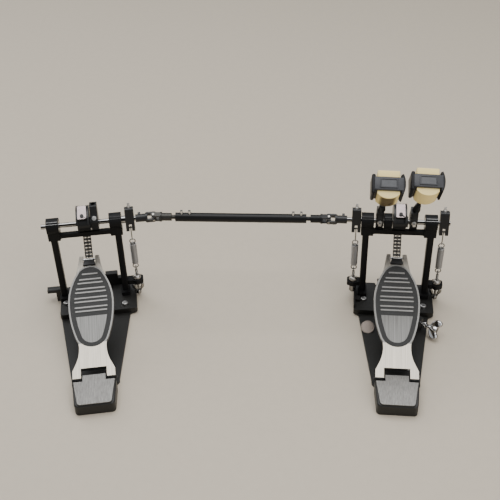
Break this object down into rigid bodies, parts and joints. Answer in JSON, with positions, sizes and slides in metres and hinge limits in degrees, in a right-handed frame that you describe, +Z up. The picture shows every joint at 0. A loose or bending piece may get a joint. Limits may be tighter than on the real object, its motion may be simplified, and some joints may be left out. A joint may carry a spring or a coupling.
{
  "type": "double bass drum pedal",
  "caption": "double bass drum pedal: main pedal with two felt beaters, slave pedal, jointed driveshaft, chain drive, coil return springs and hoop clamp",
  "frame": {"origin": "on the floor, straight below the cam shaft, at the middle of the main (right-hand) pedal", "axes": "+Z up, +Y towards the drum, +X to the player's right"},
  "size_m": [0.7738, 0.3827, 0.343],
  "materials": {
    "base_black": "satin black powder coat",
    "heel_aluminium": "brushed lengthwise",
    "bright_steel": "turned, bright",
    "frame_black": "gloss black",
    "chrome": "polished",
    "jaw_steel": "black",
    "board_aluminium": "polished edge, brushed face",
    "pad_rubber": "matte black",
    "block_black": "matte black moulding",
    "cam_black": "gloss black",
    "hub_black": "black die casting",
    "chain_steel": "blackened and oiled",
    "rod_black": "black chrome",
    "head_plastic": "dark grey moulding",
    "felt": "pressed cream felt",
    "tube_black": "gloss black",
    "spring_steel": "bright plated"
  },
  "bodies": {
    "main_stand": {"main_base": "base_black", "main_heel_plate": "heel_aluminium", "main_hinge_pin": "bright_steel", "main_frame": "frame_black", "main_bearings": "bright_steel", "pillow_block": "frame_black", "main_spur_bolts": "chrome", "main_spring_adjusters": "chrome"},
    "clamp_jaw": {"hoop_clamp_jaw": "jaw_steel"},
    "clamp_bolt": {"clamp_bolt": "chrome"},
    "main_board": {"main_footboard": "board_aluminium", "main_pad": "pad_rubber", "main_chain_anchor": "block_black"},
    "primary_shaft": {"main_shaft": "bright_steel", "main_sprocket": "cam_black", "main_chain_clamp": "chrome", "main_chain_wrap": "chain_steel", "right_hub": "hub_black", "right_rocker": "hub_black"},
    "main_run": {"main_chain_run": "chain_steel"},
    "secondary_shaft": {"second_shaft": "bright_steel", "left_hub": "hub_black", "left_rocker": "hub_black", "main_yoke": "bright_steel"},
    "right_beater": {"right_rod": "rod_black", "right_head": "head_plastic", "right_felts": "felt"},
    "left_beater": {"left_rod": "rod_black", "left_head": "head_plastic", "left_felts": "felt"},
    "main_cross": {"main_cross": "bright_steel"},
    "drive_tube": {"tube_yoke": "bright_steel", "drive_tube": "tube_black", "tube_screws": "chrome"},
    "drive_rod": {"drive_rod": "bright_steel"},
    "slave_cross": {"slave_cross": "bright_steel"},
    "slave_stand": {"slave_base": "base_black", "slave_heel_plate": "heel_aluminium", "slave_hinge_pin": "bright_steel", "slave_frame": "frame_black", "slave_bearings": "bright_steel", "slave_spur_bolts": "chrome", "slave_spring_adjuster": "chrome"},
    "slave_board": {"slave_footboard": "board_aluminium", "slave_pad": "pad_rubber", "slave_chain_anchor": "block_black"},
    "slave_cam": {"slave_shaft": "bright_steel", "slave_sprocket": "cam_black", "slave_chain_clamp": "chrome", "slave_chain_wrap": "chain_steel", "slave_hub": "hub_black", "slave_rocker": "hub_black", "slave_yoke": "bright_steel"},
    "slave_run": {"slave_chain_run": "chain_steel"},
    "right_spring": {"right_spring": "spring_steel"},
    "right_pull": {"right_pull_link": "chrome"},
    "left_spring": {"left_spring": "spring_steel"},
    "left_pull": {"left_pull_link": "chrome"},
    "slave_spring": {"slave_spring": "spring_steel"},
    "slave_pull": {"slave_pull_link": "chrome"}
  },
  "joints": [
    {"name": "main_shaft_turn", "type": "hinge", "parent": "main_stand", "child": "primary_shaft", "pos_m": [0, 0, 0.186], "axis": [1, 0, 0], "range_deg": [-42, 0], "stiffness_Nm_per_rad": 0.8, "springref_deg": 28.65},
    {"name": "second_shaft_turn", "type": "hinge", "parent": "main_stand", "child": "secondary_shaft", "pos_m": [0, 0, 0.186], "axis": [1, 0, 0], "range_deg": [-42, 0], "stiffness_Nm_per_rad": 1.2, "springref_deg": 28.65},
    {"name": "main_board_tilt", "type": "hinge", "parent": "main_stand", "child": "main_board", "pos_m": [0, -0.2445, 0.023], "axis": [1, 0, 0], "range_deg": [-5.65, 0]},
    {"name": "main_chain_swing", "type": "hinge", "parent": "main_board", "child": "main_run", "pos_m": [0, -0.0125, 0.10976], "axis": [1, 0, 0], "range_deg": [0, 27.71]},
    {"name": "slave_shaft_turn", "type": "hinge", "parent": "slave_stand", "child": "slave_cam", "pos_m": [-0.5847, -0.0426, 0.186], "axis": [0.9744, 0.225, 0], "range_deg": [-41.58, 0]},
    {"name": "slave_board_tilt", "type": "hinge", "parent": "slave_stand", "child": "slave_board", "pos_m": [-0.5297, -0.28083, 0.023], "axis": [0.9744, 0.225, 0], "range_deg": [-5.56, 0]},
    {"name": "slave_chain_swing", "type": "hinge", "parent": "slave_board", "child": "slave_run", "pos_m": [-0.58189, -0.05478, 0.10976], "axis": [0.9744, 0.225, 0], "range_deg": [0, 27.3]},
    {"name": "main_cross_tilt", "type": "hinge", "parent": "secondary_shaft", "child": "main_cross", "pos_m": [-0.13, 0, 0.186], "axis": [0, 0.9336, 0.3584], "range_deg": [-1.71, 0]},
    {"name": "drive_tube_turn", "type": "hinge", "parent": "main_stand", "child": "drive_tube", "pos_m": [-0.13, 0, 0.186], "axis": [0.9992, 0.0407, 0], "range_deg": [-42.87, 0]},
    {"name": "drive_rod_turn", "type": "hinge", "parent": "slave_stand", "child": "drive_rod", "pos_m": [-0.45803, -0.01336, 0.186], "axis": [0.9992, 0.0407, 0], "range_deg": [-42.87, 0]},
    {"name": "slave_cross_tilt", "type": "hinge", "parent": "slave_cam", "child": "slave_cross", "pos_m": [-0.45803, -0.01336, 0.186], "axis": [-0.21, 0.9097, 0.3584], "range_deg": [0, 7.77]},
    {"name": "drive_length", "type": "slide", "parent": "main_stand", "child": "slave_stand", "axis": [-0.9992, -0.0407, 0], "range_m": [-0.007, 0.035]},
    {"name": "right_spring_swing", "type": "hinge", "parent": "main_stand", "child": "right_spring", "pos_m": [0.0817, 0, 0.07], "axis": [1, 0, 0], "range_deg": [0, 5.18]},
    {"name": "right_spring_stretch", "type": "slide", "parent": "right_spring", "child": "right_pull", "axis": [0, -0.0441, 0.999], "range_m": [0, 0.00825], "deforming": ["right_spring"]},
    {"name": "left_spring_swing", "type": "hinge", "parent": "main_stand", "child": "left_spring", "pos_m": [-0.0788, 0, 0.07], "axis": [1, 0, 0], "range_deg": [0, 5.18]},
    {"name": "left_spring_stretch", "type": "slide", "parent": "left_spring", "child": "left_pull", "axis": [0, -0.0441, 0.999], "range_m": [0, 0.00825], "deforming": ["left_spring"]},
    {"name": "slave_spring_swing", "type": "hinge", "parent": "slave_stand", "child": "slave_spring", "pos_m": [-0.50188, -0.02348, 0.07], "axis": [0.9744, 0.225, 0], "range_deg": [0, 5.1]},
    {"name": "slave_spring_stretch", "type": "slide", "parent": "slave_spring", "child": "slave_pull", "axis": [0.0099, -0.043, 0.999], "range_m": [0, 0.00813], "deforming": ["slave_spring"]},
    {"name": "right_rod_height", "type": "slide", "parent": "primary_shaft", "child": "right_beater", "axis": [0.061, -0.5363, 0.8418], "range_m": [0, 0.02]},
    {"name": "left_rod_height", "type": "slide", "parent": "secondary_shaft", "child": "left_beater", "axis": [0.0366, -0.576, 0.8166], "range_m": [0, 0.02]},
    {"name": "clamp_bolt_turn", "type": "hinge", "parent": "main_stand", "child": "clamp_bolt", "pos_m": [0.045, -0.087, 0.02], "axis": [0.8212, -0.5706, 0], "range_deg": [-360, 0]},
    {"name": "clamp_jaw_tilt", "type": "hinge", "parent": "main_stand", "child": "clamp_jaw", "pos_m": [0, -0.005, 0.0095], "axis": [1, 0, 0], "range_deg": [0, 5.05]}
  ],
  "couplings": [
    {"joint": "main_board_tilt", "follows": "main_shaft_turn", "ratio": 0.13187},
    {"joint": "main_chain_swing", "follows": "main_shaft_turn", "ratio": -0.64693},
    {"joint": "slave_shaft_turn", "follows": "second_shaft_turn", "ratio": 0.985},
    {"joint": "slave_board_tilt", "follows": "second_shaft_turn", "ratio": 0.12989},
    {"joint": "slave_chain_swing", "follows": "second_shaft_turn", "ratio": -0.63722},
    {"joint": "main_cross_tilt", "follows": "second_shaft_turn", "ratio": 0.039808},
    {"joint": "drive_tube_turn", "follows": "second_shaft_turn", "ratio": 1.0008},
    {"joint": "drive_rod_turn", "follows": "second_shaft_turn", "ratio": 1.0008},
    {"joint": "slave_cross_tilt", "follows": "second_shaft_turn", "ratio": -0.18128},
    {"joint": "right_spring_swing", "follows": "main_shaft_turn", "ratio": -0.1209},
    {"joint": "right_spring_stretch", "follows": "main_shaft_turn", "m_per_rad": -0.010931},
    {"joint": "left_spring_swing", "follows": "second_shaft_turn", "ratio": -0.1209},
    {"joint": "left_spring_stretch", "follows": "second_shaft_turn", "m_per_rad": -0.010931},
    {"joint": "slave_spring_swing", "follows": "second_shaft_turn", "ratio": -0.11909},
    {"joint": "slave_spring_stretch", "follows": "second_shaft_turn", "m_per_rad": -0.010767},
    {"joint": "clamp_jaw_tilt", "follows": "clamp_bolt_turn", "ratio": -0.013889}
  ]
}
